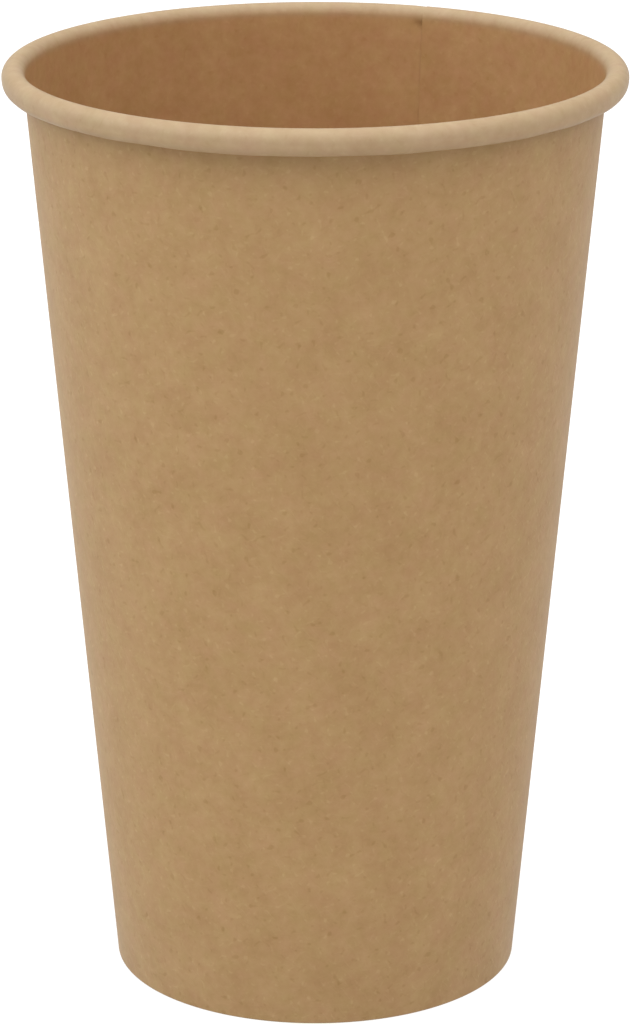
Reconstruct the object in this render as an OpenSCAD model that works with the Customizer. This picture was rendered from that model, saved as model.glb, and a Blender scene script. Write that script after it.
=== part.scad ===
// Single-wall paper coffee cup. One blank of board makes the whole side wall: its top edge is rolled
// outwards into the rim, its two ends lap at a side seam, and its bottom edge is folded back up inside
// the skirt of the base. The base is a second blank, a disc with its edge turned down.
// Origin at the centre of the foot, +Z up, lengths in millimetres.

/* [Cup] */
// Height from the foot to the top of the rim
cup_h = 137; // [90:1:180]
// Diameter over the rolled rim
rim_d = 90; // [80:0.5:100]
// Diameter over the foot
foot_d = 60; // [50:0.5:68]

/* [Board] */
// Thickness of the side wall's board
wall_t = 0.35; // [0.25:0.01:0.42]
// Thickness of the base's board
base_t = 0.3; // [0.2:0.01:0.5]
// Melted film of lining left between two sealed boards
seal_t = 0.02; // [0.01:0.01:0.05]

/* [Rolled rim] */
// Width of the roll, from the wall's inner face to its outermost point
roll_w = 3.4; // [3:0.1:4.4]
// Straight stretch down the outside of the roll
roll_flat = 0.4; // [0.1:0.1:1]
// How far past its outermost point the roll turns before it tightens, in degrees
roll_turn = 75; // [60:5:90]
// How far the tightened edge turns on inside the roll, in degrees
tuck_turn = 150; // [90:10:180]
// Air between the tucked edge and the doubled wall at the seam
tuck_gap = 0.1; // [0.06:0.02:0.2]

/* [Side seam] */
// Width of the lap, halfway up the wall
lap_w = 6.5; // [4:0.5:10]
// Width over which the outer flap steps down past the inner flap's edge
step_w = 1.7; // [1:0.1:3]
// Direction of the inner flap's edge, in degrees from +X
seam_at = 67; // [0:1:359]

/* [Base and foot] */
// Height of the recess between the foot and the underside of the base
recess_h = 7; // [6.5:0.5:14]
// Outer bend radius where the base turns down into its skirt
base_bend_r = 1; // [0.6:0.1:1.8]
// Height of the wall's edge folded back up inside the skirt
fold_h = 5.5; // [3:0.25:5.75]
// Corner radius of the folded edge that the cup stands on
foot_r = 0.35; // [0.2:0.05:0.45]
// Room between the skirt's cut edge and the crease below it
skirt_gap = 0.3; // [0.1:0.1:1]

/* [Hidden] */
$fn = 180;

// Steps along each rounded stretch of the sections
half_turn_steps = 12;
roll_turn_steps = 5;
tuck_steps = 8;
corner_steps = 3;
// Height of the small shoulder left where a flap's face runs into the next one
shoulder = 0.03;
// How much lower the outer flap's folded edge ends than the inner flap's
flap_trim = 0.2;

// The roll's two larger arcs share one radius. The wall's outer face runs from the foot to touch their
// inner side, one board away, and that sets how far the wall leans.
roll_r = roll_w / 2;
roll_c = [rim_d / 2 - roll_r, cup_h - roll_r];
foot_p = [foot_d / 2, 0];
to_roll = roll_c - foot_p;
lean = atan2(to_roll.x, to_roll.y) - asin((roll_r - wall_t) / norm(to_roll));

// Points along the wall are [distance out from its outer face, distance up it from the foot].
roll_up = to_roll.x * sin(lean) + to_roll.y * cos(lean);
roll_top = [roll_r - wall_t, roll_up];
roll_low = roll_top - [0, roll_flat];
tuck_r = roll_r - (2 * wall_t + tuck_gap) / (1 + cos(roll_turn));
tuck_c = roll_low + (roll_r - tuck_r) * [cos(roll_turn), -sin(roll_turn)];

// Width of the pocket between the wall and its folded edge, which the base's skirt fills
pocket = base_t + 2 * seal_t;
base_bend_x = -(wall_t + seal_t + base_bend_r);
base_bend_z = recess_h + base_t - base_bend_r;

// The lap and its step, as angles round the cup
mid_r = (foot_d + rim_d - 2 * roll_w) / 4;
lap_a = lap_w / mid_r * 180 / PI;
step_a = step_w / mid_r * 180 / PI;

function arc(c, r, from, to, steps, first = 0, over = 0) =
    [for (i = [first:steps + over]) let (a = from + (to - from) * i / steps) c + r * [cos(a), sin(a)]];
function backwards(list) = [for (i = [len(list) - 1:-1:0]) list[i]];
// A point of the wall's own frame, as [radius, height] of the cup
function in_cup(p) = [
    foot_p.x + p.x * cos(lean) + p.y * sin(lean),
    p.y * cos(lean) - p.x * sin(lean)
];
// The point at x across the wall that lies at height z above the ground
function at_height(x, z) = [x, (z + x * sin(lean)) / cos(lean)];

// A corner of the foot, rounded by r between the angles from and to, or sharp
function foot_corner(x, z, r, side, from, to) =
    r > 0 ? arc(at_height(x - side * r, z + r), r, from, to, corner_steps) : [at_height(x, z)];

// The board's face at depth n, from 0 on the drink's side to wall_t outside, in three stretches that
// follow each other: the folded foot, the roll, and the tucked edge
function foot_face(n, top) =
    let (
        z = max(wall_t - n, 0),
        r = n < wall_t ? 0 : foot_r,
        fold_x = -(wall_t + pocket + n),
        down = lean - 90
    )
    concat(
        [[fold_x, top]],
        foot_corner(fold_x, z, r, -1, -180, down),
        foot_corner(n - wall_t, z, r, 1, down, 0)
    );
function roll_face(n) = concat(
    arc(roll_top, roll_r - n, 180, 0, half_turn_steps),
    arc(roll_low, roll_r - n, 0, -roll_turn, roll_turn_steps)
);
function tuck_face(n, over = 0) =
    arc(tuck_c, tuck_r - n, -roll_turn, -roll_turn - tuck_turn, tuck_steps, 1, over);

// Section of the board between depths n0 and n1, its folded edge at height top and its tucked edge
// over steps past the usual place
module board_section(n0, n1, top = fold_h, over = 0) {
    near = concat(foot_face(n0, top), roll_face(n0), tuck_face(n0, over));
    far = concat(foot_face(n1, top), roll_face(n1), tuck_face(n1, over));
    polygon([for (p = concat(near, backwards(far))) in_cup(p)]);
}

// A board whose two faces, given as lists of wall points, change from one station round the cup to
// the next. A station is [angle, near face, far face].
module changing_board(stations) {
    m = len(stations[0][1]);
    ring = 2 * m;
    last = (len(stations) - 1) * ring;
    points = [
        for (s = stations, p = concat(s[1], backwards(s[2])))
            let (q = in_cup(p)) [q.x * cos(s[0]), q.x * sin(s[0]), q.y]
    ];
    sides = [
        for (k = [0:len(stations) - 2], j = [0:ring - 1])
            let (a = k * ring + j, b = k * ring + (j + 1) % ring)
            each [[a, b + ring, b], [a, a + ring, b + ring]]
    ];
    first_end = [for (i = [0:m - 2]) [i + 1, ring - 2 - i, ring - 1 - i, i]];
    last_end = [for (q = first_end) [for (i = backwards(q)) last + i]];
    polyhedron(points, concat(sides, first_end, last_end));
}

// A flap's face from height z up the wall to over steps past the tucked edge
function flap_face(n, z, over) = concat([[n - wall_t, z]], roll_face(n), tuck_face(n, over));

// The outer flap, lapped over the inner one and a little past its edge. It is cut shorter than the
// inner flap at its folded edge and its tucked edge.
module outer_flap() {
    rotate([0, 0, seam_at - lap_a])
        rotate_extrude(angle = lap_a + step_a / 8)
            board_section(wall_t / 2, 2 * wall_t, fold_h - flap_trim, -1);
}

// Past the inner flap's edge, the outer flap steps down until it lies where the inner one did
module step_down() {
    function step_face(n) = flap_face(n, foot_r, -2);
    inside = wall_t / 2;
    changing_board([
        [seam_at - step_a / 8, step_face(inside), step_face(2 * wall_t - shoulder)],
        [seam_at + step_a, step_face(inside), step_face(wall_t - shoulder)]
    ]);
}

// The shallow groove that the step leaves on the drink's side, next to the inner flap's cut edge
module step_groove() {
    function groove_face(n) = flap_face(n, base_bend_z, -2);
    clear = -tuck_gap / 2;
    changing_board([
        [seam_at, groove_face(clear), groove_face(wall_t - shoulder)],
        [seam_at + step_a, groove_face(clear), groove_face(-shoulder)]
    ]);
}

// The side wall: rolled rim, lapped seam and folded foot, all in one blank
module side_wall() {
    color("#b48e62")
        difference() {
            union() {
                rotate_extrude() board_section(0, wall_t);
                outer_flap();
                step_down();
            }
            step_groove();
        }
}

// The base: a flat disc with its edge bent down into a skirt that follows the wall's lean
module base_disc() {
    bend_c = at_height(base_bend_x, base_bend_z);
    skirt_z = wall_t + skirt_gap;
    function face(n) = [
        for (p = concat(
            [at_height(-(wall_t + seal_t + n), skirt_z)],
            arc(bend_c, base_bend_r - n, 0, 90 + lean, corner_steps + 3)
        )) in_cup(p)
    ];
    color("#a9845a")
        rotate_extrude()
            polygon(concat(face(0), [[0, recess_h + base_t], [0, recess_h]], backwards(face(base_t))));
}

side_wall();
base_disc();
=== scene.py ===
# %% [markdown]
# # A kraft paper coffee cup
#
# The real cup is made from two blanks of unbleached kraft board. The larger one is a fan-shaped strip.
# It is wrapped into a cone, lapped and sealed down one side, curled outwards along its top edge, and
# folded back up inside along its bottom edge. The smaller one is a disc with its edge turned down,
# which is gripped in that fold.
#
# The CAD solids give the size and the place of everything. They could be kept and only painted, but a
# solid can't show that the lap is two loose layers of one sheet. So this script bends both blanks
# again as fine meshes, in the same places, and puts the solids aside for the physics.

# %% Load the CAD frame
import math

import bmesh
import bpy
import numpy as np
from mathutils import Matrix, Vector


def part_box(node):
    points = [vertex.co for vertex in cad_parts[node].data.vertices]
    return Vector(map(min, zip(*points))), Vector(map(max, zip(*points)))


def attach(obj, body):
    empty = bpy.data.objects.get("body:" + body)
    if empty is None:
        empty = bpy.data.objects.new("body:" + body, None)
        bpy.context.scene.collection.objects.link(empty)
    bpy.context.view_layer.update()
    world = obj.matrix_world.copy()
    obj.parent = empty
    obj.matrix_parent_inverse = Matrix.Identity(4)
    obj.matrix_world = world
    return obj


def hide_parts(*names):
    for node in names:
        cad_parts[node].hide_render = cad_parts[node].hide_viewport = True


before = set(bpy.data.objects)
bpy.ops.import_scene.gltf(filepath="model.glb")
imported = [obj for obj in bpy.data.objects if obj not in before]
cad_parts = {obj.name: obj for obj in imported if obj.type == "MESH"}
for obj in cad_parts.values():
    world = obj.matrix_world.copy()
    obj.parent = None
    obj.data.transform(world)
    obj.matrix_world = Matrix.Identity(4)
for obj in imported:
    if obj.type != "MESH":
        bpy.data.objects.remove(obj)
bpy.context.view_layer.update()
print("CAD nodes:", sorted(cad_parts))

# %% [markdown]
# ## The camera
#
# A camera for a product picture stands well back with a long lens, so that the cup's sides stay
# straight and its mouth becomes a flat ellipse. A nearer camera with a shorter lens would fill the
# frame just as well, but it would open the mouth and narrow the foot. The distance, the tilt and the
# lens were found together, by fitting the outline of the cup at the rim, the wall and the foot.

# %% Camera
MM = 0.001

camera_at = np.array([-0.05, -628.57, 270.55])
camera_tilt = 17.77
camera_lens = 156.69

camera_data = bpy.data.cameras.new("product_camera")
camera_data.lens = camera_lens
camera_data.sensor_width = 36.0
camera = bpy.data.objects.new("product_camera", camera_data)
camera.location = camera_at * MM
camera.rotation_euler = (math.radians(90.0 - camera_tilt), 0.0, 0.0)
bpy.context.scene.collection.objects.link(camera)
bpy.context.scene.camera = camera
print(f"camera {np.linalg.norm(camera_at):.0f} mm away, looking {camera_tilt} degrees down")

# %% [markdown]
# ## Colours and nodes
#
# Paper colours are easy to read off a swatch as sRGB hex values, but Blender's shaders work in linear
# light. One function turns the first into the second.
#
# A material is a small graph of nodes. Each node needs a kind, a few settings, and values or links on
# its inputs, so one helper does all three at once, and the graphs below read from top to bottom.

# %% Helpers for materials
def linear(hex_colour):
    """An sRGB hex colour as the linear RGBA that Blender's sockets take."""
    srgb = np.array([int(hex_colour[i : i + 2], 16) for i in (1, 3, 5)]) / 255
    light = np.where(srgb <= 0.04045, srgb / 12.92, ((srgb + 0.055) / 1.055) ** 2.4)
    return (*light, 1.0)


def new_material(name):
    """An empty material that uses nodes."""
    material = bpy.data.materials.new(name)
    material.use_nodes = True
    material.node_tree.nodes.clear()
    return material


def add_node(owner, kind, settings=None, inputs=None):
    """Adds a node to a material or a world. settings are the node's own attributes, and each of its
    inputs is given a value or another node's output."""
    tree = owner.node_tree
    node = tree.nodes.new("ShaderNode" + kind)
    for name, value in (settings or {}).items():
        setattr(node, name, value)
    for name, value in (inputs or {}).items():
        if isinstance(value, bpy.types.NodeSocket):
            tree.links.new(value, node.inputs[name])
        else:
            node.inputs[name].default_value = value
    return node


print("kraft brown in linear light:", [round(v, 3) for v in linear("#B8946A")[:3]])

# %% [markdown]
# ## The studio
#
# The cup stands on a white sweep that is lit until it burns out to pure white. The light on the cup is
# very even, and has three parts. A tent of white cloth is brightest overhead. A paler band runs round
# the horizon. Three soft boxes give the wall its slow change from left to right, and the left one is a
# little cool, like daylight from a window. The tent and the band could be large lamps, but a gradient
# on the world's background does the same without any noise.

# %% White sweep
scene = bpy.context.scene
scene.view_settings.view_transform = "Standard"

sweep_size = 8000.0
sweep_colour = "#898989"
sweep_glow = 0.70
# The folded foot stands at height 0, so the sweep lies a hair lower
sweep_drop = 0.02
# The camera's exposure burns out the soft shadow round the foot
burn_out = 0.10

sweep_paper = new_material("white_sweep")
seen = add_node(sweep_paper, "LightPath").outputs["Is Camera Ray"]
glow = add_node(
    sweep_paper, "Math", {"operation": "MULTIPLY_ADD"}, {0: seen, 1: burn_out, 2: sweep_glow}
)
sweep_shader = add_node(
    sweep_paper,
    "BsdfPrincipled",
    inputs={
        "Base Color": linear(sweep_colour),
        "Roughness": 1.0,
        "Specular IOR Level": 0.0,
        "Emission Color": (1.0, 1.0, 1.0, 1.0),
        "Emission Strength": glow.outputs["Value"],
    },
)
add_node(sweep_paper, "OutputMaterial", inputs={"Surface": sweep_shader.outputs["BSDF"]})

half = sweep_size / 2 * MM
sweep_mesh = bpy.data.meshes.new("sweep")
sweep_mesh.from_pydata(
    [(-half, -half, 0), (half, -half, 0), (half, half, 0), (-half, half, 0)], [], [(0, 1, 2, 3)]
)
sweep_mesh.materials.append(sweep_paper)
sweep = bpy.data.objects.new("sweep", sweep_mesh)
sweep.location.z = -sweep_drop * MM
scene.collection.objects.link(sweep)
print(f"sweep {sweep_size / 1000:.0f} m square")

# %% Tent of light
tent_light = 2.55
tent_sharpness = 2.0
horizon_light = 0.98
horizon_sharpness = 4.0

world = bpy.data.worlds.new("light_tent")
world.use_nodes = True
world.node_tree.nodes.clear()
sky = add_node(world, "TexCoord").outputs["Generated"]
towards = add_node(world, "SeparateXYZ", inputs={"Vector": sky}).outputs


def light_part(value, sharpness, strength, rest):
    """rest plus strength times value raised to sharpness."""
    shaped = add_node(world, "Math", {"operation": "POWER"}, {0: value, 1: sharpness})
    total = add_node(
        world, "Math", {"operation": "MULTIPLY_ADD"}, {0: shaped.outputs["Value"], 1: strength, 2: rest}
    )
    return total.outputs["Value"]


# 0 at the horizon and below it, and 1 overhead
upwards = add_node(world, "Math", {"operation": "MAXIMUM"}, {0: towards["Z"], 1: 0.0}).outputs["Value"]
from_top = add_node(world, "Math", {"operation": "SUBTRACT"}, {0: 1.0, 1: upwards}).outputs["Value"]
brightness = light_part(upwards, tent_sharpness, tent_light, 0.0)
brightness = light_part(from_top, horizon_sharpness, horizon_light, brightness)

# The camera sees only plain white cloth behind the cup, from any side
seen = add_node(world, "LightPath").outputs["Is Camera Ray"]
shown = add_node(world, "Mix", {"data_type": "FLOAT"}, {0: seen, 2: brightness, 3: 1.0}).outputs[0]
tent = add_node(world, "Background", inputs={"Color": (1.0, 1.0, 1.0, 1.0), "Strength": shown})
add_node(world, "OutputWorld", inputs={"Surface": tent.outputs["Background"]})
scene.world = world
print(f"tent {tent_light} bright overhead, {horizon_light} at the horizon")

# %% Soft boxes
box_size = 2250.0
box_distance = 3000.0
cup_middle = np.array([0.0, 0.0, 70.0])


def soft_box(name, direction, height, watts, colour="#FFFFFF"):
    """A square soft box that looks at the middle of the cup. direction is in degrees from +X."""
    lamp = bpy.data.lights.new(name, "AREA")
    lamp.color = linear(colour)[:3]
    lamp.shape = "SQUARE"
    lamp.size = box_size * MM
    lamp.energy = watts
    across, up = math.cos(math.radians(height)), math.sin(math.radians(height))
    turn = math.radians(direction)
    away = np.array([across * math.cos(turn), across * math.sin(turn), up])
    box = bpy.data.objects.new(name, lamp)
    box.location = (cup_middle + away * box_distance) * MM
    box.rotation_euler = (math.radians(90.0 - height), 0.0, turn + math.radians(90.0))
    scene.collection.objects.link(box)
    return box


soft_box("front_left_box", direction=-145, height=45, watts=38.0)
soft_box("front_right_box", direction=-35, height=45, watts=29.2)
soft_box("left_box", direction=180, height=30, watts=26.5, colour="#D5EDFF")
print("soft boxes:", [lamp.name for lamp in bpy.data.lights])

# %% [markdown]
# ## Kraft board
#
# Kraft board is pressed from long, unbleached wood fibres that lie in every direction. Close to, it is
# a mid brown with soft clouds, where the pulp settled thicker or thinner, a finer mottle, short pale and
# dark fibres, small specks of bark and knots of pale pulp, and its hue drifts a little from patch to
# patch. A photograph of board could be wrapped round the cup, but it would repeat, and would carry its
# own light. Here each of these is a noise texture at its real size.
#
# The pattern has to lie flat in the blank and bend with it. So both meshes carry a UV map of the flat
# blank in millimetres, and every scale below is a real length on the board.

# %% Sizes of the pattern
blank_map = "blank_mm"

cloud_size = 7.0
mottle_size = 1.6
# A real fibre is about 0.03 mm wide, and the render has only seven pixels to the millimetre. So a fibre
# is drawn as coarse as it needs to show, as the crests of a noise of this length and width.
fibre_length = 2.0
fibre_width = 0.5
fibre_bend = 0.4
bend_size = 2.4
# Directions of the fibres on the flat blank. Level is -24 degrees there, on the front of the cup.
pale_fibres = (-80.0, -20.0, 35.0)
dark_fibres = (-55.0, 0.0, 70.0)
# Each set is moved across the noise, so that pale and dark fibres don't lie on each other
pale_shift = 11.0
dark_shift = 47.0
bark_size = 1.15
knot_size = 0.9
# A fibre, a speck of bark or a knot of pulp is the crest of a noise, between these two heights of it
fibre_crest = (0.70, 0.84)
speck_crest = (0.74, 0.88)

# The colour drifts a little between redder and yellower patches
hue_size = 3.6
hue_drift = 0.022

# How much each part changes the tone, where 0 is the dark colour and 1 the pale one
cloud_tone = 0.21
mottle_tone = 0.25
fibre_tone = 0.035
bark_tone = 0.14
knot_tone = 0.12
# How much fibres and knots stand up from the board, where the mottle is 1
fleck_height = 0.3
print(f"clouds {cloud_size} mm, mottle {mottle_size} mm, fibres {fibre_length} mm long")

# %% Helpers for the pattern
def fibres(material, place, direction, shift):
    """Fibres that lie about one direction: noise that is stretched to a fibre's length and width."""
    along = add_node(
        material,
        "Mapping",
        {"vector_type": "TEXTURE"},
        {
            "Vector": place,
            "Location": (shift, 3.0 * shift, 0.0),
            "Rotation": (0.0, 0.0, math.radians(direction)),
            "Scale": (fibre_length, fibre_width, 1.0),
        },
    )
    streaks = add_node(
        material,
        "TexNoise",
        {"noise_dimensions": "2D"},
        {"Vector": along.outputs["Vector"], "Scale": 1.0, "Detail": 0.0},
    )
    return streaks.outputs["Fac"]


def noise(material, place, size, detail=2.0):
    """Even noise whose patches are about size millimetres across."""
    texture = add_node(
        material,
        "TexNoise",
        {"noise_dimensions": "2D"},
        {"Vector": place, "Scale": 1.0 / size, "Detail": detail, "Roughness": 0.55},
    )
    return texture.outputs["Fac"]


def above(material, value, crest):
    """0 below the crest's start and 1 above its end: it picks the crests out of a noise."""
    picked = add_node(
        material,
        "MapRange",
        {"interpolation_type": "SMOOTHSTEP"},
        {"Value": value, "From Min": crest[0], "From Max": crest[1]},
    )
    return picked.outputs["Result"]


def weighted_sum(material, start, parts):
    """start plus each part times its weight."""
    total = start
    for value, weight in parts:
        step = add_node(material, "Math", {"operation": "MULTIPLY_ADD"}, {0: value, 1: weight, 2: total})
        total = step.outputs["Value"]
    return total


print(f"a noise with {cloud_size} mm patches has a scale of {1.0 / cloud_size:.3f} on the blank")

# %% Pattern of the pulp
def pulp(material, contrast, flecks):
    """The tone of the board, from 0 dark to 1 pale, and the height of its surface. contrast is for all
    of its parts, and flecks is how clearly the fibres, the bark and the knots show."""
    flat = add_node(material, "UVMap", {"uv_map": blank_map}).outputs["UV"]
    wander = add_node(
        material,
        "TexNoise",
        {"noise_dimensions": "2D"},
        {"Vector": flat, "Scale": 1.0 / bend_size, "Detail": 1.0},
    )
    bent = add_node(
        material,
        "VectorMath",
        {"operation": "MULTIPLY_ADD"},
        {0: wander.outputs["Color"], 1: (fibre_bend, fibre_bend, 0.0), 2: flat},
    ).outputs["Vector"]

    clouds = noise(material, flat, cloud_size, 1.0)
    mottle = noise(material, flat, mottle_size, 2.0)
    pale = [above(material, fibres(material, bent, a, pale_shift + a), fibre_crest) for a in pale_fibres]
    dark = [above(material, fibres(material, bent, a, dark_shift + a), fibre_crest) for a in dark_fibres]
    bark = above(material, noise(material, bent, bark_size, 0.0), speck_crest)
    knots = above(material, noise(material, flat, knot_size, 0.0), speck_crest)

    parts = [(clouds, cloud_tone), (mottle, mottle_tone)]
    middle = 0.5 - sum(weight for _, weight in parts) / 2 * contrast
    parts += [(fibre, fibre_tone * flecks) for fibre in pale]
    parts += [(fibre, -fibre_tone * flecks) for fibre in dark]
    parts += [(bark, -bark_tone * flecks), (knots, knot_tone * flecks)]
    tone = weighted_sum(material, middle, [(value, weight * contrast) for value, weight in parts])
    raised = [(fleck, fleck_height) for fleck in (pale[0], pale[1], knots)]
    height = weighted_sum(material, 0.0, [(mottle, 1.0), *raised])
    return tone, height


print("pulp: clouds, mottle, pale and dark fibres, specks of bark, knots")

# %% [markdown]
# ## Three finishes of the same board
#
# - **Plain side.** Machine-finished unbleached kraft board: the outside of the wall and the underside of
#   the base. Its open fibres scatter nearly all light, so the eye sees an even, dry brown that pales a
#   little where it turns away.
# - **Lined side.** The drink's side has a matt film of clear polyethylene, about 0.02 mm thick. The film
#   wets the fibres, so they show less, and the eye sees a darker, redder brown with soft clouds and the
#   faintest satin. The rim is curled outwards, so the outside of the roll is lined side too. There the
#   tool stretches the film a little hazy, and the white sheen of the overhead light is also painted into
#   the colour, so the roll gets the palest, least red brown of the cup.
# - **Cut edge.** The die shears the fibres, so the edge is a little paler and rougher.
#
# Board and film both have an IOR near 1.5. They could be full materials of their own, but one function
# makes all three from the same pulp, so the fibres carry on round every edge. Each point of the wall
# carries a mark, 0 in the wall and 1 in the roll, that fades the lined side into its hazy colour with
# the painted sheen.

# %% Colours of the board
# The mark of the roll, where the lined side takes its hazy colour with the painted sheen of the overhead
# light
sheen_haze_mark = "curled"

board_dark = "#7D5C2E"
board_pale = "#B09068"
lined_dark = "#865C30"
lined_pale = "#B89066"
# The roll's colours: the stretched film's haze, and a painted sheen of the overhead light as a paler, less
# red brown
hazy_sheen_dark = "#866A49"
hazy_sheen_pale = "#B09C7F"
edge_dark = "#93754C"
edge_pale = "#BFA37E"


def between_colours(material, share, first, second):
    """first where share is 0, and second where it is 1. Each is a colour or another node's output."""
    return add_node(material, "Mix", {"data_type": "RGBA"}, {0: share, 6: first, 7: second}).outputs[2]


def drifted(material, colour):
    """The colour with its hue drifting from patch to patch. A hue of 0.5 leaves it as it is."""
    flat = add_node(material, "UVMap", {"uv_map": blank_map}).outputs["UV"]
    patches = noise(material, flat, hue_size, 3.0)
    hue = weighted_sum(material, 0.5 - hue_drift / 2, [(patches, hue_drift)])
    return add_node(material, "HueSaturation", inputs={"Hue": hue, "Color": colour}).outputs["Color"]


print("plain", board_dark, board_pale, "lined", lined_dark, lined_pale, "hazy", hazy_sheen_dark, hazy_sheen_pale)

# %% Materials of the board
board_ior = 1.5


def kraft(name, colours, contrast, flecks, relief, shader_inputs, hazy_sheen_colours=None):
    """Kraft board from its dark to its pale colour. relief is how deep its surface is, in mm."""
    material = new_material(name)
    tone, height = pulp(material, contrast, flecks)
    colour = between_colours(material, tone, *map(linear, colours))
    # On the roll the colour fades into the hazy one, which carries the painted sheen
    if hazy_sheen_colours:
        curled = between_colours(material, tone, *map(linear, hazy_sheen_colours))
        share = add_node(material, "Attribute", {"attribute_name": sheen_haze_mark}).outputs["Fac"]
        colour = between_colours(material, share, colour, curled)
    colour = drifted(material, colour)
    bump = add_node(
        material, "Bump", inputs={"Height": height, "Distance": relief * MM, "Strength": 1.0}
    )
    shader = add_node(
        material,
        "BsdfPrincipled",
        inputs={
            "Base Color": colour,
            "Normal": bump.outputs["Normal"],
            "IOR": board_ior,
            **shader_inputs,
        },
    )
    add_node(material, "OutputMaterial", inputs={"Surface": shader.outputs["BSDF"]})
    return material


plain_side = kraft(
    "kraft_board_plain",
    (board_dark, board_pale),
    contrast=1.0,
    flecks=1.0,
    relief=0.03,
    shader_inputs={
        "Roughness": 0.6,
        "Specular IOR Level": 0.2,
        "Sheen Weight": 0.05,
        "Sheen Roughness": 0.45,
    },
)
lined_side = kraft(
    "kraft_board_lined",
    (lined_dark, lined_pale),
    contrast=1.1,
    flecks=0.45,
    relief=0.012,
    shader_inputs={
        "Roughness": 0.5,
        "Specular IOR Level": 0.1,
        "Coat Weight": 0.05,
        "Coat IOR": board_ior,
        "Coat Roughness": 0.4,
    },
    hazy_sheen_colours=(hazy_sheen_dark, hazy_sheen_pale),
)
cut_edge = kraft(
    "kraft_board_cut_edge",
    (edge_dark, edge_pale),
    contrast=1.2,
    flecks=1.0,
    relief=0.04,
    shader_inputs={"Roughness": 0.85, "Specular IOR Level": 0.3},
)
print("materials:", [m.name for m in (plain_side, lined_side, cut_edge)])

# %% [markdown]
# ## Bending a sheet of board
#
# Both pieces are thin sheets, and both are nearly round. A sheet could be one surface with Blender's
# Solidify on it, but that guesses the thickness at the tight folds. Here each sheet is drawn as two
# faces, one on the drink's side and one outside, by the same steps round the cup and the same rows
# across the board, and the strips between them are the cut edges.
#
# A point of the section is given in the wall's own frame: how far it is out from the wall's outer
# face, and how far up the slope of the wall. Curls and folds are plain arcs there.

# %% Sizes of the cup, in millimetres
wall_low, wall_high = (np.array(corner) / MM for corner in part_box("side_wall"))
cup_h = round(wall_high[2], 1)
rim_d = round(wall_high[0] - wall_low[0], 1)
foot_d = 60.0

board_t = 0.35
base_t = 0.30
seal_t = 0.02

roll_w = 3.4
roll_flat = 0.4
roll_turn = 75.0
tuck_turn = 150.0
tuck_gap = 0.1
roll_r = roll_w / 2

recess_h = 7.0
base_bend_r = 1.0
fold_h = 5.5
pocket = base_t + 2 * seal_t

to_roll = np.array([rim_d / 2 - roll_r - foot_d / 2, cup_h - roll_r])
slope = math.atan2(to_roll[0], to_roll[1]) - math.asin((roll_r - board_t) / np.linalg.norm(to_roll))
lean = math.degrees(slope)
print(f"cup {cup_h} mm high, rim {rim_d} mm, wall leaning {lean:.2f} degrees")

# %% Points of a section
def in_cup(points):
    """Points of the wall's frame as radius and height."""
    out, up = points[..., 0], points[..., 1]
    radius = foot_d / 2 + out * math.cos(slope) + up * math.sin(slope)
    return np.stack([radius, up * math.cos(slope) - out * math.sin(slope)], axis=-1)


def at_height(out, z):
    """The point at out across the wall that lies at height z."""
    return np.stack([out, (z + out * math.sin(slope)) / math.cos(slope)], axis=-1)


def arc(centre, radius, start, end, steps):
    """An arc at every station. The centre may differ from one station to the next, and the radius along
    the arc too."""
    turn = np.radians(np.linspace(start, end, steps + 1))
    around = np.stack([np.cos(turn), np.sin(turn)], axis=-1)
    radius = np.asarray(radius)
    if radius.ndim < 2:
        radius = radius.reshape(-1, 1)
    return np.reshape(centre, (-1, 1, 2)) + radius[..., None] * around


def between(start, end, steps):
    """The rows between two points, without the points themselves."""
    share = np.linspace(0, 1, steps + 1)[1:-1].reshape(1, -1, 1)
    return start[:, None] * (1 - share) + end[:, None] * share


def smooth(share):
    """0 below 0 and 1 above 1, with a soft start and end."""
    share = np.clip(share, 0.0, 1.0)
    return share * share * (3 - 2 * share)


def waver(turn, cycles, seed):
    """A small unevenness that runs round the cup and meets itself. It is mostly within 1, and comes
    to about 2 at the few crests where its waves meet."""
    draw = np.random.default_rng(seed)
    waves = [np.sin(np.radians(turn) * n + draw.uniform(0, 2 * math.pi)) for n in cycles]
    return sum(waves) / math.sqrt(len(cycles))


print("a point 100 mm up the wall:", in_cup(np.array([0.0, 100.0])).round(2))

# %% Mesh of a sheet
weld_gap = 0.001
# The places of the three materials on each mesh
PLAIN, LINED, CUT = 0, 1, 2


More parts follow.
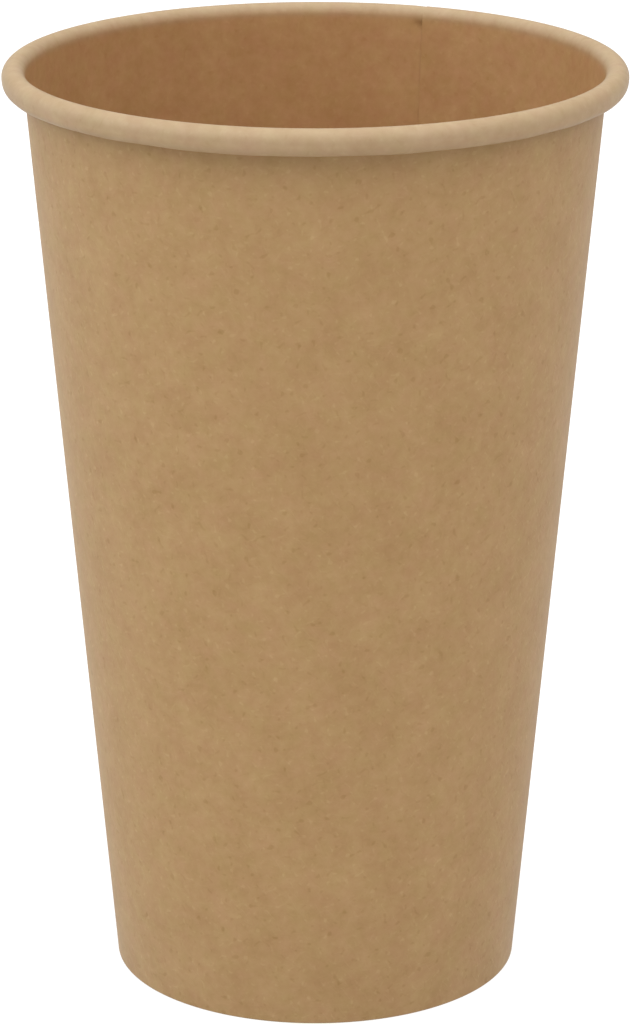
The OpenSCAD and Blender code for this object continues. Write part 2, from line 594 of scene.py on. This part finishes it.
def sheet_mesh(name, turns, near, far, flat, disc):
    """A mesh from the two faces of a sheet. near and far are stations by rows by [radius, height], and
    flat is each point's place in the flat blank. A disc's first row is its centre, and it has no ends.
    The near face is lined, the far one is plain, and the strips between them are cut edges."""
    stations, rows = near.shape[:2]
    turn = np.radians(turns)[:, None]
    points = np.concatenate(
        [
            np.stack([f[..., 0] * np.cos(turn), f[..., 0] * np.sin(turn), f[..., 1]], -1).reshape(-1, 3)
            for f in (near, far)
        ]
    )

    index = np.arange(stations * rows).reshape(stations, rows)
    if disc:
        index = np.concatenate([index, index[:1]])
    other = index + stations * rows

    def strip(a, b):
        return np.stack([a[:-1], a[1:], b[1:], b[:-1]], axis=-1).reshape(-1, 4)

    near_quads = strip(index[:, 1:], index[:, :-1])
    far_quads = strip(other[:, :-1], other[:, 1:])
    edges = [strip(other[:, -1], index[:, -1])]
    if not disc:
        edges += [strip(index[:, 0], other[:, 0])]
        edges += [strip(other[0], index[0]), strip(index[-1], other[-1])]
    quads = np.concatenate([near_quads, far_quads, *edges])

    mesh = bpy.data.meshes.new(name)
    mesh.from_pydata(points * MM, [], quads.tolist())
    mesh.materials.append(plain_side)
    mesh.materials.append(lined_side)
    mesh.materials.append(cut_edge)
    kinds = np.full(len(quads), CUT)
    kinds[: len(near_quads)] = LINED
    kinds[len(near_quads) : len(near_quads) + len(far_quads)] = PLAIN
    mesh.polygons.foreach_set("material_index", kinds)

    # On a cut edge the far points are moved across the blank, so that the pulp isn't smeared there
    spots = flat.reshape(-1, 2)
    uv = spots[quads % (stations * rows)]
    uv[kinds == CUT] += np.where(quads[kinds == CUT] >= stations * rows, board_t, 0.0)[..., None]
    mesh.uv_layers.new(name=blank_map).data.foreach_set("uv", uv.ravel())

    if disc:
        weld = bmesh.new()
        weld.from_mesh(mesh)
        bmesh.ops.remove_doubles(weld, verts=weld.verts, dist=weld_gap * MM)
        weld.to_mesh(mesh)
        weld.free()
    return mesh


print("a sheet has a lined face, a plain face and cut edges")

# %% Piece from a mesh
sharp_angle = 40.0


def volume(mesh):
    """Volume in cubic millimetres. It is positive where the faces look outwards."""
    points = np.empty(len(mesh.vertices) * 3)
    mesh.vertices.foreach_get("co", points)
    mesh.calc_loop_triangles()
    corners = np.empty(len(mesh.loop_triangles) * 3, dtype=int)
    mesh.loop_triangles.foreach_get("vertices", corners)
    a, b, c = points.reshape(-1, 3)[corners.reshape(-1, 3)].transpose(1, 0, 2) / MM
    return np.einsum("ij,ij->", a, np.cross(b, c)) / 6


def piece(mesh, node):
    """An object for a mesh, smooth but for its cut edges, that stands for a CAD node."""
    mesh.polygons.foreach_set("use_smooth", np.ones(len(mesh.polygons), dtype=bool))
    mesh.set_sharp_from_angle(angle=math.radians(sharp_angle))
    made = bpy.data.objects.new(mesh.name, mesh)
    scene.collection.objects.link(made)
    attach(made, "root")
    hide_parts(node)
    print(f"{mesh.name}: {volume(mesh):.0f} mm3 of board, {len(mesh.loop_triangles)} triangles")
    return made


print(f"edges sharper than {sharp_angle} degrees stay crisp")

# %% [markdown]
# ## The side seam
#
# The wall is one sheet that goes a little more than once round. Its first end lies outside, over its
# last end, and heat melts the outer layer's lining into the board below it, over a lap of 6.5 mm. Past
# the lap, the outer layer comes down by one board and goes on as the plain wall. The CAD has the lap as
# one lump. It could be cut in two there, but here the stations simply run from one cut edge to the
# other, and each has a lift: how far its layer lies out from the plain wall.
#
# The sealing jaw presses hardest on the inner layer's end. It thins that end until only a faint upright
# line shows inside the cup. The jaw stops short of the rim, though, and there the cut edge keeps its
# full thickness and leaves a small dark notch.

# %% Stations round the side wall
seam_at = 67.0
lap_w = 6.5
step_w = 1.7
squeeze_w = 1.5
pressed_w = 2.2
pressed_t = 0.12

middle_r = (foot_d + rim_d - 2 * roll_w) / 4
lap_a, step_a, squeeze_a, pressed_a = np.degrees(
    np.array([lap_w, step_w, squeeze_w, pressed_w]) / middle_r
)

ribs = 100
steps_per_rib = 5
# Extra stations where the section changes fast: in the jaw's marks, and in the step down
mark_steps = 7
step_steps = 13
first_turn = seam_at - lap_a
last_turn = seam_at + 360.0
under_turn = first_turn + 360.0

turns = np.unique(
    np.concatenate(
        [
            np.arange(first_turn, last_turn, 360.0 / (ribs * steps_per_rib)),
            np.linspace(seam_at - pressed_a, seam_at, mark_steps),
            np.linspace(seam_at, seam_at + step_a, step_steps),
            np.linspace(under_turn - squeeze_a, under_turn, mark_steps),
            np.linspace(last_turn - pressed_a, last_turn, mark_steps),
        ]
    ).round(4)
)


def end_thickness(turn):
    """The board's thickness towards the sheet's last end, where the jaw presses it."""
    return board_t - (board_t - pressed_t) * smooth((turn - last_turn) / pressed_a + 1)


under = smooth((turns - under_turn) / squeeze_a + 1)
ply = end_thickness(turns)
coming_down = 1 - smooth((turns - seam_at) / step_a)
open_lift = (board_t + seal_t) * coming_down
lift = (end_thickness(np.minimum(turns, seam_at) + 360.0) + seal_t) * coming_down
other_layer = np.maximum(lift, under * (ply + seal_t))
print(f"{len(turns)} stations, lap {lap_a:.1f} degrees wide, pressed to {pressed_t} mm at its inner end")

# %% [markdown]
# ## The roll, the wall and the fold
#
# The rim is a hollow curl: the board leaves the wall, goes over the top, comes down outside and tucks
# in under itself. The drink's side becomes the outside of the curl. The curling tool presses the
# doubled board of the lap so thin that the roll looks whole. A torus would look alike from afar, but it
# would lose the notch at the seam and the open edge under the rim.
#
# At the foot, the sheet is creased twice round the base's skirt. Where it is doubled at the lap, the
# press squeezes both layers into the same height, so the cup doesn't rock. The tool that closes the
# fold is knurled. Its teeth leave rows of shallow upright ribs in the recess, which are real dents
# here and not bump, as they are among the few things to see on the underside.

# %% Sizes of the section
fold_rows = 16
corner_rows = 4
wall_rows = 6
notch_rows = 6
closing_rows = 4
top_rows = 26
side_rows = 10
tuck_rows = 9

# The inside of a crease, and how much rounder it gets for each millimetre of depth in the board
crease_r = 0.10
crease_growth = 0.7
# How far below the roll the notch at the seam begins to open, and where it is fully open
notch_low = 3.3
notch_high = 1.1
# What is left of the lap in the roll: the outer layer's lift, and the inner layer's thickness
rolled_lift = 0.06
rolled_ply = 0.05

roll_up = to_roll[0] * math.sin(slope) + to_roll[1] * math.cos(slope)
roll_top = np.array([roll_r - board_t, roll_up])
tuck_r = roll_r - (2 * board_t + tuck_gap) / (1 + math.cos(math.radians(roll_turn)))
tuck_shift = (roll_r - tuck_r) * np.array(
    [math.cos(math.radians(roll_turn)), -math.sin(math.radians(roll_turn))]
)

# The curling tool leaves the lower edge of the roll a little uneven
roll_uneven = 0.05
roll_waves = (3, 5, 8, 13, 19, 27)
sag = roll_uneven * waver(turns, roll_waves, seed=11)
print(f"roll {roll_w} mm wide, {roll_w + roll_flat:.1f} mm high, uneven by up to {np.abs(sag).max():.3f} mm")


# %% Section of the side wall
def eased(start_out, start_up, end_out, end_up, steps):
    """Rows that pass softly from one distance out to another. Heights are from the roll's first bend."""
    share = np.linspace(0, 1, steps + 1)[1:]
    out = start_out[:, None] + (end_out - start_out)[:, None] * smooth(share)
    up = roll_up + start_up + (end_up - start_up) * share
    return np.stack([out, np.broadcast_to(up, out.shape)], axis=-1)


def board_face(depth, notch, rolled):
    """One face of the side wall, at every station: its distance from the drink's side in the wall, in
    the notch that the lap leaves under the roll, and in the roll."""
    squeeze = board_t / (board_t + other_layer)
    z = board_t - squeeze * depth
    bend = crease_r + crease_growth * depth
    fold_out = -(board_t + pocket + depth)
    wall_out = depth - board_t
    notch_out = notch - board_t

    fold_top = np.stack([fold_out, np.full(len(turns), fold_h)], axis=-1)
    fold_corner = arc(at_height(fold_out + bend, z + bend), bend, -180, lean - 90, corner_rows)
    wall_corner = arc(at_height(wall_out - bend, z + bend), bend, lean - 90, 0, corner_rows)
    below_notch = np.stack([wall_out, np.full(len(turns), roll_up - notch_low)], axis=-1)
    opening = eased(wall_out, -notch_low, notch_out, -notch_high, notch_rows)
    closing = eased(notch_out, -notch_high, rolled - board_t, 0.0, closing_rows)
    over = arc(roll_top, roll_r - rolled, 180, 0, top_rows)
    low_centre = roll_top - np.stack([np.zeros(len(turns)), roll_flat + sag], axis=-1)
    down = arc(low_centre, roll_r - rolled, 0, -roll_turn, side_rows)
    tuck = arc(low_centre + tuck_shift, tuck_r - rolled, -roll_turn, -roll_turn - tuck_turn, tuck_rows)
    return np.concatenate(
        [
            fold_top[:, None],
            between(fold_top, fold_corner[:, 0], fold_rows),
            fold_corner,
            wall_corner,
            between(wall_corner[:, -1], below_notch, wall_rows),
            below_notch[:, None],
            opening,
            closing,
            over[:, 1:],
            down,
            tuck[:, 1:],
        ],
        axis=1,
    )


near = board_face(lift, open_lift, rolled_lift * coming_down)
far = board_face(
    lift + ply, open_lift + board_t, rolled_lift * coming_down + board_t - under * (board_t - rolled_ply)
)
print(f"{near.shape[1]} rows across the blank")

# %% Knurled ribs on the fold
rib_depth = 0.07
rib_bands = ((1.0, 2.9), (3.2, 5.1))
band_end = 0.25

rib = 0.5 - 0.5 * np.cos(np.radians(turns) * ribs)
fold_up = far[:, :fold_rows, 1]
band = sum(
    smooth((fold_up - low) / band_end + 0.5) * smooth((high - fold_up) / band_end + 0.5)
    for low, high in rib_bands
)
far[:, :fold_rows, 0] += rib_depth * rib[:, None] * band
print(f"{ribs} ribs, {2 * math.pi * (foot_d / 2 - 1) / ribs:.1f} mm apart")

# %% [markdown]
# ## The flat blank
#
# Unrolled, a cone is part of a flat ring. A point's distance from the ring's centre is its distance
# from the tip of the cone, and its angle there is its angle round the cup times the sine of the lean.
# The fold and the roll simply carry on by the length of board that they use. This is the map that the
# pulp pattern lies on. Projecting the pattern from outside would be easier, but it would stretch on
# the roll and would match across the seam, which a real lap never does.

# %% Side wall sheet
middle_line = np.mean((near + far) / 2, axis=0)
length = np.concatenate([[0], np.cumsum(np.linalg.norm(np.diff(middle_line, axis=0), axis=1))])
foot_row = fold_rows + 2 * (corner_rows + 1) - 1
from_tip = foot_d / 2 / math.sin(slope) + length - length[foot_row]
fan = np.radians(turns)[:, None] * math.sin(slope)
wall_flat = np.stack([from_tip * np.sin(fan), from_tip * np.cos(fan)], axis=-1)

# The mark that turns the lined side hazy, with the sheen of the overhead light painted into its colour.
# It starts just below the roll and is full over its top. Down the roll's outside the painted sheen
# fades a little, where that face turns away from the light. These are lengths along the board from the
# roll's first bend.
sheen_haze_from, sheen_haze_to = -0.8, 1.3
sheen_fade_from, sheen_fade_to = 3.6, 5.8
sheen_haze_left = 0.8
roll_row = fold_rows + 2 * (corner_rows + 1) + wall_rows + notch_rows + closing_rows - 1
along = length - length[roll_row]
haze_and_sheen = smooth((along - sheen_haze_from) / (sheen_haze_to - sheen_haze_from))
haze_and_sheen *= 1 - (1 - sheen_haze_left) * smooth((along - sheen_fade_from) / (sheen_fade_to - sheen_fade_from))

wall_mesh = sheet_mesh("side_wall_sheet", turns, in_cup(near), in_cup(far), wall_flat, disc=False)
mark = wall_mesh.attributes.new(sheen_haze_mark, "FLOAT", "POINT")
mark.data.foreach_set("value", np.tile(haze_and_sheen, 2 * len(turns)))
side_wall_sheet = piece(wall_mesh, "side_wall")

# %% [markdown]
# ## The base
#
# The base is punched as a flat disc and pressed into the shape of a shallow lid. Flat board can't
# stretch round a corner, so the bend gathers into many small crinkles, which die out towards the middle
# and are pressed flat in the skirt. Cloth tools could find them, but a few uneven waves of the right
# width and depth, strongest at the bend, look the same and cost nothing.

# %% Section of the base
base_steps = 540
disc_rows = 16
bend_rows = 10
skirt_rows = 4
skirt_gap = 0.3
skirt_z = board_t + skirt_gap

base_turns = np.arange(base_steps) * 360.0 / base_steps
bend_out = -(board_t + seal_t + base_bend_r)
bend_centre = at_height(bend_out, recess_h + base_t - base_bend_r)


def base_face(depth):
    """One face of the base, from its centre to the skirt's cut edge, as radius and height."""
    bend = arc(bend_centre, base_bend_r - depth, 90 + lean, 0, bend_rows)
    skirt_end = at_height(-(board_t + seal_t + depth), skirt_z)[None]
    skirt = between(bend[:, -1], skirt_end, skirt_rows)
    turned = in_cup(np.concatenate([bend, skirt, skirt_end[:, None]], axis=1))[0]
    radii = turned[0, 0] * np.linspace(0, 1, disc_rows + 1)[:-1]
    disc = np.stack([radii, np.full(disc_rows, turned[0, 1])], axis=-1)
    return np.concatenate([disc, turned])


base_near = base_face(0.0)
base_far = base_face(base_t)
print(f"base flat for {2 * base_near[disc_rows, 0]:.1f} mm across, {recess_h} mm above the table")

# %% Crinkles round the bend
crinkle_depth = 0.05
crinkle_reach = 5.0
# Above 1, the crinkles stay full for the first part of the bend
crinkle_hold = 1.5
crinkle_waves = (61, 74, 83, 97, 109)

row = np.arange(len(base_near))
from_bend = base_near[disc_rows, 0] - base_near[:, 0]
inwards = smooth(1 - from_bend / crinkle_reach)
downwards = smooth(crinkle_hold * (1 - (row - disc_rows) / bend_rows))
weight = np.where(row < disc_rows, inwards, downwards)
crinkle = crinkle_depth * waver(base_turns, crinkle_waves, seed=5)[:, None] * weight
dent = np.stack([np.zeros_like(crinkle), crinkle], axis=-1)
print(f"crinkles up to {np.abs(crinkle).max():.3f} mm deep")

# %% Base panel
base_middle = (base_near + base_far) / 2
base_length = np.concatenate([[0], np.cumsum(np.linalg.norm(np.diff(base_middle, axis=0), axis=1))])
spin = np.radians(base_turns)[:, None]
base_flat = base_length[None, :, None] * np.stack([np.cos(spin), np.sin(spin)], axis=-1)

base_mesh = sheet_mesh(
    "base_panel", base_turns, base_near + dent, base_far + dent, base_flat, disc=True
)
base_panel = piece(base_mesh, "base_disc")
